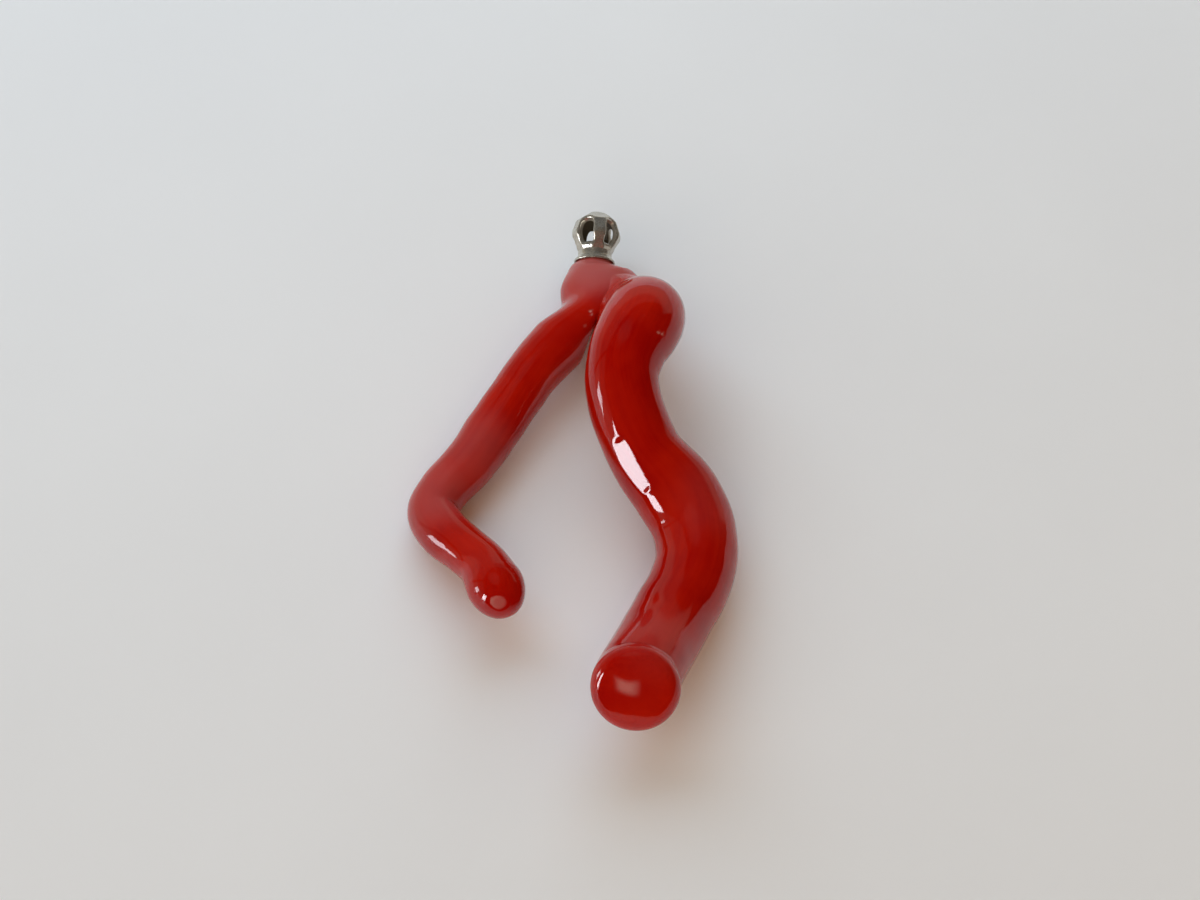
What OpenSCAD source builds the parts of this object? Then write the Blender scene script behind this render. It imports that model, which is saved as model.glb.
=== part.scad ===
// Coral branch pendant, lying on a table as it rests by itself.
// A polished branch of red coral forks into a thick arm and a thin arm.
// A small silver crown with open windows is glued on the trunk's end.
// +Y runs from the arms' tips to the crown, +Z is up and the table is Z = 0.

/* [Branch] */
// Points round each section of the coral
around = 28; // [20:4:32]
// Rings from one listed section to the next
rings_per_stretch = 3; // [2:1:4]
// Rings from the fork to the first section of each arm
fork_rings = 7; // [4:1:8]
// Radius of the rounded rim of the thick arm's cut end
cut_rounding = 1.3; // [0.8:0.1:1.8]
// Slope of the domed cut face where it meets the rim
cut_slope = 14; // [4:1:24]
// Length of the thin arm's rounded nose past its last section
nose_length = 3.5; // [2:0.1:4]
// Height of the dome on the trunk's end, under the crown
seat_dome = 0.42; // [0.3:0.02:0.6]

/* [Crown] */
// Outer diameter of the open ball
crown_d = 4.74; // [4.2:0.02:5]
// Thickness of the ball's wall and ribs
crown_wall = 0.6; // [0.4:0.02:0.7]
// Number of ribs, with a window after each
rib_count = 5; // [4:1:6]
// Angle round the ball that each rib takes
rib_angle = 33; // [24:1:36]
// Height of the windows
window_h = 2.7; // [2:0.05:3]
// Diameter of the neck below the ball
neck_d = 3.24; // [2.8:0.02:3.6]
// Diameter of the skirt's foot on the coral
skirt_d = 3.96; // [3.8:0.02:4.1]
// Height from the skirt's foot to the ball's centre
ball_rise = 2.84; // [2.6:0.02:3]
// Diameter of the hidden post
post_d = 0.9; // [0.7:0.05:1.2]
// Length of the post inside the coral
post_length = 3; // [2:0.1:3.2]
// Clearance that the glue fills
glue_gap = 0.06; // [0.04:0.01:0.1]

/* [Hidden] */

// Each row is a section across the branch: x, y, z, half width, half height.
// The half width is level and the half height is square to it and to the path.
trunk_rows = [
    [-0.55, 18.60, 3.85, 1.80, 1.80],
    [-0.59, 17.80, 3.60, 2.62, 2.42],
    [-0.38, 16.70, 3.40, 3.56, 2.85],
    [0.08, 15.50, 3.27, 4.05, 3.14]];
thick_rows = [
    [3.15, 10.85, 7.10, 3.35, 3.15],
    [4.02, 8.85, 9.10, 3.78, 3.58],
    [3.55, 6.60, 10.20, 3.78, 3.65],
    [2.55, 4.30, 10.30, 3.50, 3.60],
    [1.97, 1.80, 9.50, 3.37, 3.45],
    [2.50, -1.20, 8.00, 3.40, 3.45],
    [4.12, -4.50, 6.30, 3.45, 3.50],
    [6.65, -7.40, 5.00, 3.85, 3.60],
    [8.15, -10.20, 4.10, 3.78, 3.70],
    [8.46, -13.30, 3.80, 3.68, 3.75],
    [7.75, -16.40, 4.00, 3.62, 3.70],
    [6.30, -19.60, 4.70, 3.58, 3.70],
    [4.88, -22.80, 5.80, 3.56, 3.72],
    [3.68, -25.70, 7.20, 3.56, 3.75],
    [3.02, -27.50, 7.95, 3.66, 3.78],
    [2.92, -28.40, 8.76, 3.76, 3.76]];
thin_rows = [
    [-4.12, 8.90, 4.00, 2.75, 2.65],
    [-6.12, 6.20, 4.05, 2.58, 2.58],
    [-7.93, 3.20, 3.80, 2.56, 2.50],
    [-9.75, 0.20, 3.35, 2.58, 2.40],
    [-11.90, -3.20, 2.80, 2.45, 2.35],
    [-14.10, -5.80, 2.40, 2.35, 2.30],
    [-15.02, -8.20, 2.50, 2.36, 2.40],
    [-13.80, -10.70, 3.20, 2.35, 2.35],
    [-12.00, -12.70, 3.95, 2.25, 2.25],
    [-10.25, -14.70, 4.65, 2.28, 2.28],
    [-9.10, -17.00, 5.30, 2.56, 2.50]];

// Where the two arms part, between them and below the knob
crotch = [-0.7, 10.8, 4.6];
// Direction from the thin arm to the thick one where they part
parting = [0.85, 0.25, 0.35];
// Angle round the trunk at which the parting line starts, from +X towards +Z
seam_angle = 75;
// How boldly the surface leaves the trunk for each arm, and the crotch for either
thick_leave = 0.35;
thin_leave = 0.9;
crotch_leave = 0.3;
// How boldly it arrives at each arm's first section
arm_arrive = 0.9;
// Rings of the cut's rim, of its face, and of the nose
cut_rings = 4;
face_rings = 2;
nose_rings = 5;
// The dome under the crown: its rings as angles from the top, and how full it is
seat_angles = [30, 60];
seat_fullness = 0.7;
// Step along a path for its heading
tiny = 0.02;
half = around / 2;

// Height of the skirt's foot above the trunk's first section
foot_rise = 0.1;
// Thickness of the skirt's lip
lip = 0.12;
// The skirt narrows to the neck: share of its spread, height above its foot
flare = [[1, 0], [0.9, 0.2], [0.22, 0.6], [0, 0.85]];
// Where the windows' cutters start inside the hollow, measured from the axis
window_start = 0.6;
// One rib is centred this far to the right of the front
front_rib = 11.5;
// How far joined parts run into each other
overlap = 0.02;
// Sides of the ball, of what is turned round the axis, and of a window's arch
ball_sides = 48;
turned_sides = 60;
arch_sides = 24;

function unit(v) = v / norm(v);
function place(row) = [row[0], row[1], row[2]];
function last(list) = len(list) - 1;

// Catmull-Rom curve through the rows; t counts rows
function spline(rows, t) =
    let (n = last(rows),
         i = min(floor(t), n - 1),
         f = t - i,
         b = rows[i],
         c = rows[i + 1],
         a = i > 0 ? rows[i - 1] : 2 * b - c,
         d = i < n - 1 ? rows[i + 2] : 2 * c - b)
    0.5 * (2 * b + (c - a) * f + (2 * a - 5 * b + 4 * c - d) * f ^ 2
        + (3 * b - a - 3 * c + d) * f ^ 3);

function heading(rows, t) =
    unit(place(spline(rows, min(t + tiny, last(rows)))) - place(spline(rows, max(t - tiny, 0))));

// One ring of points: an ellipse across the path, shrunk, or moved ahead along the path
function ring(rows, t, shrink = 1, ahead = 0) =
    let (row = spline(rows, t),
         along = heading(rows, t),
         level = unit(cross([0, 0, 1], along)),
         upward = cross(along, level))
    [for (j = [0 : around - 1])
        let (a = seam_angle + 360 * j / around)
        place(row) + along * ahead
            + shrink * (level * row[3] * cos(a) + upward * row[4] * sin(a))];

// Rings all along an arm or the trunk
function tube(rows) =
    let (count = last(rows) * rings_per_stretch)
    [for (k = [0 : count]) ring(rows, k / rings_per_stretch)];

// The curve that leaves p0 along d0 and reaches p1 along d1
function bridge(p0, d0, p1, d1, v) =
    (2 * v ^ 3 - 3 * v ^ 2 + 1) * p0 + (v ^ 3 - 2 * v ^ 2 + v) * d0
        + (3 * v ^ 2 - 2 * v ^ 3) * p1 + (v ^ 3 - v ^ 2) * d1;

// The fork: the trunk's last ring is parted by an arc through the crotch
trunk_rings = tube(trunk_rows);
fork_ring = trunk_rings[last(trunk_rings)];
before_fork = ring(trunk_rows, last(trunk_rows) - tiny);
seam_mid = (fork_ring[0] + fork_ring[half]) / 2;
arc = [for (q = [0 : half])
    let (a = 180 * q / half)
    seam_mid + (fork_ring[0] - seam_mid) * cos(a) + (crotch - seam_mid) * sin(a)];

// An arm's root: one half of the fork's ring and the arc
function arc_step(j, thick) = thick ? j : (around - j) % around;
function on_arc(j, thick) = thick ? j <= half : j >= half || j == 0;
function root_point(j, thick) = on_arc(j, thick) ? arc[arc_step(j, thick)] : fork_ring[j];
function parting_share(j, thick) = on_arc(j, thick) ? sin(180 * arc_step(j, thick) / half) : 0;

// Rings that turn an arm's root into its first section
function root_rings(rows, thick) =
    let (first = ring(rows, 0),
         second = ring(rows, tiny),
         apart = unit(parting) * (thick ? crotch_leave : -crotch_leave),
         leave = thick ? thick_leave : thin_leave)
    [for (k = [1 : fork_rings - 1])
        [for (j = [0 : around - 1])
            let (from = root_point(j, thick),
                 reach = norm(first[j] - from),
                 share = parting_share(j, thick),
                 start = unit(fork_ring[j] - before_fork[j]) * leave * (1 - share) + apart * share,
                 end = unit(second[j] - first[j]) * arm_arrive)
            bridge(from, start * reach, first[j], end * reach, k / fork_rings)]];

// Rings of the ends; the cut has a round rim and a face that is part of a ball, the nose
// is a quarter ellipse
face_r = thick_rows[last(thick_rows)][3] - cut_rounding * (1 - sin(cut_slope));
dome_r = face_r / sin(cut_slope);
cut_height = cut_rounding * cos(cut_slope) + dome_r * (1 - cos(cut_slope));
function cut_end(rows) =
    let (n = last(rows),
         r = rows[n][3])
    concat(
        [for (k = [1 : cut_rings])
            let (a = (90 - cut_slope) * k / cut_rings)
            ring(rows, n, 1 - cut_rounding * (1 - cos(a)) / r, cut_rounding * sin(a))],
        [for (k = [1 : face_rings])
            let (b = cut_slope * (1 - k / (face_rings + 1)))
            ring(rows, n, dome_r * sin(b) / r, cut_height - dome_r * (1 - cos(b)))]);
function nose_end(rows) =
    [for (k = [1 : nose_rings])
        let (a = 90 * k / (nose_rings + 1))
        ring(rows, last(rows), cos(a), nose_length * sin(a))];
function seat_share(a) = sin(a) ^ seat_fullness;
seat_rings = [for (a = seat_angles) ring(trunk_rows, 0, seat_share(a), -seat_dome * cos(a))];

function tip(rows, t, ahead) = place(spline(rows, t)) + heading(rows, t) * ahead;

thick_rings = concat(root_rings(thick_rows, true), tube(thick_rows), cut_end(thick_rows));
thin_rings = concat(root_rings(thin_rows, false), tube(thin_rows), nose_end(thin_rows));
stem_rings = concat(seat_rings, trunk_rings);

// Where each set of points starts in the joined list
arc_at = len(stem_rings) * around;
thick_at = arc_at + half - 1;
thin_at = thick_at + len(thick_rings) * around;
poles_at = thin_at + len(thin_rings) * around;
function flat(rings) = [for (r = rings) each r];
coral_points = concat(
    flat(stem_rings),
    [for (q = [1 : half - 1]) arc[q]],
    flat(thick_rings),
    flat(thin_rings),
    [tip(trunk_rows, 0, -seat_dome),
     tip(thick_rows, last(thick_rows), cut_height),
     tip(thin_rows, last(thin_rows), nose_length)]);

function ring_numbers(at, k) = [for (j = [0 : around - 1]) at + k * around + j];
function root_numbers(thick) =
    let (fork = ring_numbers(0, last(stem_rings)))
    [for (j = [0 : around - 1])
        let (q = arc_step(j, thick))
        on_arc(j, thick) && q > 0 && q < half ? arc_at + q - 1 : fork[j]];

// Triangles between two rings of numbers, and from a ring to a pole
function band(a, b) =
    [for (j = [0 : around - 1])
        let (k = (j + 1) % around)
        each [[a[j], b[j], b[k]], [a[j], b[k], a[k]]]];
function fan(a, pole) = [for (j = [0 : around - 1]) [a[j], pole, a[(j + 1) % around]]];
function turned(faces) = [for (f = faces) [f[2], f[1], f[0]]];
function bands(at, count) =
    [for (k = [0 : count - 2]) each band(ring_numbers(at, k), ring_numbers(at, k + 1))];
coral_faces = concat(
    turned(fan(ring_numbers(0, 0), poles_at)),
    bands(0, len(stem_rings)),
    band(root_numbers(true), ring_numbers(thick_at, 0)),
    bands(thick_at, len(thick_rings)),
    fan(ring_numbers(thick_at, last(thick_rings)), poles_at + 1),
    band(root_numbers(false), ring_numbers(thin_at, 0)),
    bands(thin_at, len(thin_rings)),
    fan(ring_numbers(thin_at, last(thin_rings)), poles_at + 2));

// The crown's axis is the trunk's, turned to point away from the coral
crown_foot = place(trunk_rows[0]);
crown_axis = -heading(trunk_rows, 0);
crown_turn = [0, acos(crown_axis.z), atan2(crown_axis.y, crown_axis.x)];
ball_at = foot_rise + ball_rise;
ball_centre = crown_foot + crown_axis * ball_at;

// The whole pendant is centred over the origin, with its lowest points on Z = 0
function span(list, axis) = [for (p = list) p[axis]];
low = [for (axis = [0 : 2]) min(span(coral_points, axis))];
high = [for (axis = [0 : 2]) max(span(coral_points, axis))];
far_y = ball_centre.y + crown_d / 2;
shift = [-(low.x + high.x) / 2, -(low.y + far_y) / 2, -low.z];

module along_crown() {
    translate(crown_foot) rotate(crown_turn) children();
}

module coral_branch() {
    color("firebrick")
    translate(shift)
    difference() {
        polyhedron(points = coral_points, faces = coral_faces, convexity = 8);
        along_crown()
        translate([0, 0, seat_dome - post_length - glue_gap])
        cylinder(d = post_d + 2 * glue_gap, h = post_length + seat_dome, $fn = ball_sides);
    }
}

// Outline of the skirt, neck and ball, turned round the axis; the skirt's underside
// follows the dome that it sits on
module crown_outline() {
    r = crown_d / 2;
    neck_r = neck_d / 2;
    skirt_r = skirt_d / 2;
    seat_r = trunk_rows[0][3];
    neck_top = ball_at - sqrt(r ^ 2 - neck_r ^ 2);
    intersection() {
        translate([0, ball_at]) circle(r = r, $fn = ball_sides);
        translate([0, neck_top]) square([r, crown_d]);
    }
    polygon(concat(
        [[0, seat_dome + glue_gap]],
        [for (a = seat_angles) [seat_r * seat_share(a), seat_dome * cos(a) + glue_gap]],
        [[skirt_r - lip, foot_rise]],
        [for (f = flare) [neck_r + (skirt_r - neck_r) * f[0], foot_rise + f[1]]],
        [[neck_r, neck_top + overlap], [0, neck_top + overlap]]));
}

// Seen from outside, a window is a box with an arched top
module window() {
    width = crown_d * sin((360 / rib_count - rib_angle) / 2);
    arch = width / 2;
    translate([window_start, 0, 0])
    rotate([90, 0, 90])
    linear_extrude(height = crown_d) {
        translate([-width / 2, -window_h / 2]) square([width, window_h - arch]);
        translate([0, window_h / 2 - arch]) circle(r = arch, $fn = arch_sides);
    }
}

module crown_cap() {
    first_window = 180 + front_rib + 180 / rib_count;
    color("silver")
    translate(shift)
    along_crown() {
        difference() {
            rotate_extrude($fn = turned_sides) crown_outline();
            translate([0, 0, ball_at]) sphere(r = crown_d / 2 - crown_wall, $fn = ball_sides);
            translate([0, 0, ball_at])
            for (k = [0 : rib_count - 1]) rotate([0, 0, first_window + 360 * k / rib_count]) window();
        }
        translate([0, 0, seat_dome - post_length])
        cylinder(d = post_d, h = post_length + 2 * lip, $fn = ball_sides);
    }
}

coral_branch();
crown_cap();
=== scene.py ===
import math
from functools import partial

import bmesh
import bpy
import numpy as np
from bpy.props import FloatProperty, FloatVectorProperty, IntProperty, PointerProperty
from mathutils import Matrix, Vector


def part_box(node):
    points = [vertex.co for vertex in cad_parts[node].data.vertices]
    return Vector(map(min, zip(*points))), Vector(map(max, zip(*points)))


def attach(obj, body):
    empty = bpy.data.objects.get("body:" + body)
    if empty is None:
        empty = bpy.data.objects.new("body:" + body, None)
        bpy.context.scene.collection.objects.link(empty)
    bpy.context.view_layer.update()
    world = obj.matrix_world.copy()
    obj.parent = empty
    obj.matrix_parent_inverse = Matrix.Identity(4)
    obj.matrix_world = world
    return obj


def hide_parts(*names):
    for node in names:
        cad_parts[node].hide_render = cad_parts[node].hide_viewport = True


bl_info = {
    "name": "Coral Branch Pendant",
    "version": (1, 0, 0),
    "blender": (4, 5, 0),
    "location": "3D View > Sidebar > Coral Pendant",
    "description": "A polished coral branch with an openwork silver crown, on a pale table",
    "category": "Add Mesh",
}

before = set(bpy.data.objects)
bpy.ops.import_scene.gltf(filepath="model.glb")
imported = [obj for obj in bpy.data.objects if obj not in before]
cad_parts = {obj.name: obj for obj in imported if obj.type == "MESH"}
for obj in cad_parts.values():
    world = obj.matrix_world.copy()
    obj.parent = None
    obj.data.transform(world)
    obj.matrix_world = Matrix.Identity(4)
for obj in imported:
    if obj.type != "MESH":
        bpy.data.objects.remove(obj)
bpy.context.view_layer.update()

MM = 0.001
BRANCH_NODE = "coral_branch"
CROWN_NODE = "crown_cap"
# What every property for a colour has
COLOUR = {"size": 4, "min": 0, "max": 1, "subtype": "COLOR"}

# Sections across the branch, in millimetres: x, y, z, half width, half height.
# The half width is level, and the half height is square to it and to the path.
TRUNK_ROWS = np.array([
    [-0.55, 18.60, 3.85, 1.80, 1.80],
    [-0.59, 17.80, 3.60, 2.62, 2.42],
    [-0.38, 16.70, 3.40, 3.56, 2.85],
    [0.08, 15.50, 3.27, 4.05, 3.14]])
THICK_ROWS = np.array([
    [3.15, 10.85, 7.10, 3.35, 3.15],
    [4.02, 8.85, 9.10, 3.78, 3.58],
    [3.55, 6.60, 10.20, 3.78, 3.65],
    [2.55, 4.30, 10.30, 3.50, 3.60],
    [1.97, 1.80, 9.50, 3.37, 3.45],
    [2.50, -1.20, 8.00, 3.40, 3.45],
    [4.12, -4.50, 6.30, 3.45, 3.50],
    [6.65, -7.40, 5.00, 3.85, 3.60],
    [8.15, -10.20, 4.10, 3.78, 3.70],
    [8.46, -13.30, 3.80, 3.68, 3.75],
    [7.75, -16.40, 4.00, 3.62, 3.70],
    [6.30, -19.60, 4.70, 3.58, 3.70],
    [4.88, -22.80, 5.80, 3.56, 3.72],
    [3.68, -25.70, 7.20, 3.56, 3.75],
    [3.02, -27.50, 7.95, 3.66, 3.78],
    [2.92, -28.40, 8.76, 3.76, 3.76]])
THIN_ROWS = np.array([
    [-4.12, 8.90, 4.00, 2.75, 2.65],
    [-6.12, 6.20, 4.05, 2.58, 2.58],
    [-7.93, 3.20, 3.80, 2.56, 2.50],
    [-9.75, 0.20, 3.35, 2.58, 2.40],
    [-11.90, -3.20, 2.80, 2.45, 2.35],
    [-14.10, -5.80, 2.40, 2.35, 2.30],
    [-15.02, -8.20, 2.50, 2.36, 2.40],
    [-13.80, -10.70, 3.20, 2.35, 2.35],
    [-12.00, -12.70, 3.95, 2.25, 2.25],
    [-10.25, -14.70, 4.65, 2.28, 2.28],
    [-9.10, -17.00, 5.30, 2.56, 2.50]])

# Where the arms part, the way from the thin arm to the thick one there, and how boldly
# the surface leaves the trunk for the thick arm, the thin arm and the crotch
CROTCH = np.array([-0.7, 10.8, 4.6])
PARTING = np.array([0.85, 0.25, 0.35])
LEAVE_THICK, LEAVE_THIN, LEAVE_CROTCH, ARRIVE = 0.35, 0.9, 0.3, 0.9
# Angle round the trunk at which the line between the arms starts, in degrees
SEAM_ANGLE = 75
# Step along a path for its heading, and steps for measuring the way along it
TINY = 0.02
WAY_STEPS = 400
# How full the dome on the trunk's end is: the power of the sine that gives its radius
SEAT_FULLNESS = 0.7
# Points along the outlines of the cut's rim, the cut's face, the nose, the seat's dome and the drilled hole
RIM, FACE, NOSE, SEAT, HOLE = 17, 22, 25, 14, 10

# Pits that the grinding left, in the sections' millimetres: x, y, z, radius, depth, how chalky
PITS = np.array([
    [-0.85, 11.25, 6.45, 0.16, 0.10, 0.7],
    [-0.80, 10.90, 6.40, 0.13, 0.07, 0.5],
    [-1.40, 9.75, 6.20, 0.18, 0.06, 0.15],
    [5.25, 4.20, 13.00, 0.16, 0.07, 0.5],
    [5.60, 4.25, 12.70, 0.16, 0.08, 0.6],
    [5.75, 3.90, 12.50, 0.15, 0.06, 0.4],
    [4.40, 2.70, 13.05, 0.15, 0.06, 0.5],
    [2.20, 11.15, 11.10, 0.35, 0.12, 0.0]])

# Places where wear has dulled the polish and where a pale painted sheen is mixed into the red, in the
# sections' millimetres: x, y, z, reach, how dull (which is also how strong the painted sheen is)
WORN_SHEEN = np.array([
    [-0.60, 17.60, 6.00, 4.2, 0.72],
    [3.40, 14.60, 8.60, 2.6, 0.25],
    [-11.60, -3.20, 5.20, 4.0, 0.26],
    [-15.20, -7.00, 4.60, 4.2, 0.36],
    [10.40, -9.00, 6.40, 4.0, 0.10],
    [4.60, -25.00, 9.80, 3.4, 0.12]])

# Places polished a little flatter: x, y, z, the face's way out x, y, z, its reach, its depth, in millimetres
FACETS = np.array([
    [2.6, -6.9, 8.3, -0.48, -0.60, 0.64, 2.5, 0.13],
    [-8.3, -19.7, 7.0, -0.03, -0.72, 0.69, 2.2, 0.14]])

# Middle of the fork. Softening starts and is full at these distances from it, and at these places on Y
# towards the crown; growth ridges start and are full at these distances
FORK_MIDDLE = np.array([0.0, 12.0, 6.0])
SOFT_FROM, SOFT_FULL = 10.4, 3.9
SOFT_FROM_Y, SOFT_FULL_Y = 17.4, 15.9
RIDGES_FROM, RIDGES_FULL = 6.6, 9.6
# The valley behind the cut's rim: how far behind it, how wide, and how far out from the rim's middle
RIM_BEHIND, RIM_WIDTH, RIM_REACH = 0.6, 0.9, 6
# Polishing waves fade in from one place on Y to the next below the fork, and out again towards the cut
WAVES_FROM_Y, WAVES_FULL_Y = 14.5, 9.5
CUT_CALM_Y, CUT_FULL_Y = -30.5, -25.5
# Those waves: share, seed, and shortest and longest length in millimetres; the height, from 0 to 1, that is
# left as it was; and the share of them that reaches the cut
WAVES = ((0.6, 3, (4.5, 11.0)), (0.4, 8, (2.4, 4.5)))
WAVES_LEVEL = 0.35
CUT_SHARE = 0.1
# Ridges round an arm, their twist in radians a millimetre, and how fast they come and go along it. They
# start and are full at these distances from the arm's middle line
RIDGE_COUNT, RIDGE_TWIST, RIDGE_BEAT = 5, 0.06, 0.35
LINE_FROM, LINE_FULL = 1, 2
# How far a pit is chalky, as a share of its radius
CHALK_REACH = 0.9

# The crown: one rib's centre, to the right of the front, and the latitude where the roof begins, in degrees
FRONT_RIB = 11.5
ROOF_EDGE = 58
# Points across and up the outline of each window's sector, and their spread round the window itself: a value
# under 1 gathers them at its head and foot
ACROSS, UP = 24, 30
POINT_SPREAD = 0.75
# Points along the skin beside a window, a window's edge, the roof or bowl, the neck, the lip and the skirt's
# underside
SKIN, EDGE, ROOF, NECK, LIP_ROUND, UNDERSIDE = 11, 7, 14, 26, 7, 10
# Powers of the superellipse that is a window's outline, at its head and at its foot, and how dark the rim is
# where its inner edge starts
HEAD_POWER, FOOT_POWER = 2.7, 5.0
RIM_DARK = 0.3
# Rounding of the windows' inner edges, and the glue between the crown and the coral, in millimetres
INNER_EDGE = 0.06
GLUE = 0.06
# Flats cut on the ball: latitude in degrees, how many for each rib, and distance from the ball's middle as
# a share of its radius
FLATS = ((18, 1, 0.955), (-28, 2, 0.925), (52, 1, 0.935), (90, 1, 0.96))
# The skirt's foot above the trunk's first section, its lip's thickness and height, and the gap that the
# crown's parts are welded across, in millimetres
FOOT, LIP, LIP_HEIGHT, WELD_GAP = 0.1, 0.12, 0.1, 0.002
# Share of the neck's height above its flare, the power of the flare's raised cosine, and the angles on the
# seat's dome at which the skirt's underside starts and stops, in degrees
FLARE_START, FLARE_POWER = 0.25, 1.6
UNDER_OUT, UNDER_IN = 80, 17

# Half the table's side, in millimetres
TABLE_HALF = 1500.0
# Lights: name, azimuth, elevation, distance and size in metres, colour, the property with its power, and
# whether only polished things mirror it; the others light everything and are mirrored in nothing
LIGHTS = (
    ("window", -121, 14, 0.8, (0.13, 0.30), "#F4F8FF", "window_power", True),
    ("far_window", -96, 7, 0.8, (0.14, 0.20), "#F4F8FF", "far_power", True),
    ("soft_box", -16, 40, 0.36, (0.5, 0.5), "#D6ECFF", "soft_power", False),
    ("front_room", -155, 32, 0.5, (0.8, 0.8), "#FFF0E2", "front_power", False),
    ("warm_room", 90, 50, 0.6, (0.8, 0.8), "#FFCA7C", "fill_power", False))

# Soft borders in the room: azimuth and elevation of a direction, and the cosines of the angle from it at
# which the border is dark and light
BORDERS = {
    "walls": (-28, 0, 0.0, 0.06),
    "under_ceiling": (135, 60, 0.32, 0.22),
    "under_rail": (0, 90, 0.36, 0.26),
    "left_of_jamb": (-168, 0, -0.02, -0.04),
    "right_of_jamb": (-168, 0, 0.02, 0.04),
    "glow": (-35, 70, 0.93, 0.98),
    "sheet_foot": (15, 64, -0.17, -0.04),
    "sheet_head": (15, 64, 0.17, 0.04),
    "sheet_start": (-75, 0, -0.22, -0.06),
    "sheet_stop": (-75, 0, 0.22, 0.06),
    "sheet_front": (-165, 26, 0.5, 0.6)}
# Parts of the room: brightness, and the borders that bound it. All else has the dark room's brightness
ROOM_PARTS = (
    (0.15, ("walls", "under_ceiling", "left_of_jamb")),
    (0.15, ("walls", "under_ceiling", "right_of_jamb")),
    (0.23, ("walls", "under_rail", "left_of_jamb")),
    (0.23, ("walls", "under_rail", "right_of_jamb")),
    (0.15, ("glow",)),
    (2.6, ("sheet_foot", "sheet_head", "sheet_start", "sheet_stop", "sheet_front")))
DARK_ROOM = 0.01


def linear(code):
    """An sRGB hex colour as linear red, green, blue and alpha."""
    parts = np.array([int(code[i:i + 2], 16) for i in (1, 3, 5)]) / 255
    low = parts / 12.92
    high = ((parts + 0.055) / 1.055) ** 2.4
    return (*np.where(parts <= 0.04045, low, high), 1.0)


class CoralBranchSizes(bpy.types.PropertyGroup):
    around: IntProperty(
        name="Points Around", default=144, min=24, max=160, step=4,
        description="Points round each section of the branch, an even number")
    per_row: IntProperty(
        name="Rings per Section", default=17, min=4, max=20,
        description="Rings from one listed section to the next")
    fork_rings: IntProperty(
        name="Fork Rings", default=42, min=8, max=60,
        description="Rings from the fork to the first section of each arm")
    cut_rounding: FloatProperty(
        name="Cut Rounding", default=1.3 * MM, min=0.8 * MM, max=1.8 * MM, unit="LENGTH",
        description="Radius of the rounded rim of the thick arm's cut end")
    cut_slope: FloatProperty(
        name="Cut Slope", default=math.radians(14), min=math.radians(4), max=math.radians(24),
        subtype="ANGLE", description="Slope of the domed cut face where it meets the rim")
    nose_length: FloatProperty(
        name="Nose Length", default=3.5 * MM, min=2 * MM, max=4 * MM, unit="LENGTH",
        description="Length of the thin arm's rounded nose past its last section")
    seat_dome: FloatProperty(
        name="Seat Dome", default=0.42 * MM, min=0.3 * MM, max=0.6 * MM, unit="LENGTH",
        description="Height of the dome on the trunk's end, under the crown")
    hole_radius: FloatProperty(
        name="Hole Radius", default=0.51 * MM, min=0.4 * MM, max=0.7 * MM, unit="LENGTH",
        description="Radius of the hole that takes the crown's post")
    hole_depth: FloatProperty(
        name="Hole Depth", default=3.06 * MM, min=2 * MM, max=3.2 * MM, unit="LENGTH",
        description="Depth of that hole below the dome's top")
    swell: FloatProperty(
        name="Swell", default=0.18 * MM, min=0, max=0.4 * MM, unit="LENGTH",
        description="Depth of the gentle hollows that hand polishing leaves, if all their waves met")
    ridge: FloatProperty(
        name="Ridges", default=0.035 * MM, min=0, max=0.1 * MM, unit="LENGTH",
        description="Height of the flat lengthwise ridges along the arms")
    smoothing: IntProperty(
        name="Fork Smoothing", default=120, min=0, max=300,
        description="Passes that soften the fork's valleys")
    colour: FloatVectorProperty(
        name="Coral", default=linear("#B51604"), **COLOUR,
        description="The coral's even red")
    dark: FloatVectorProperty(
        name="Dark Coral", default=linear("#9E0401"), **COLOUR,
        description="The deeper red of its denser zones")
    # A paler pink painted on the worn places as their sheen: painted reflection, not a colour the coral has
    painted_sheen: FloatVectorProperty(
        name="Painted Sheen", default=linear("#B4605C"), **COLOUR,
        description="The paler red that scratched and dulled skin gives")
    chalk: FloatVectorProperty(
        name="Chalk", default=linear("#D9A79B"), **COLOUR,
        description="The unpolished coral in pits")


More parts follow.
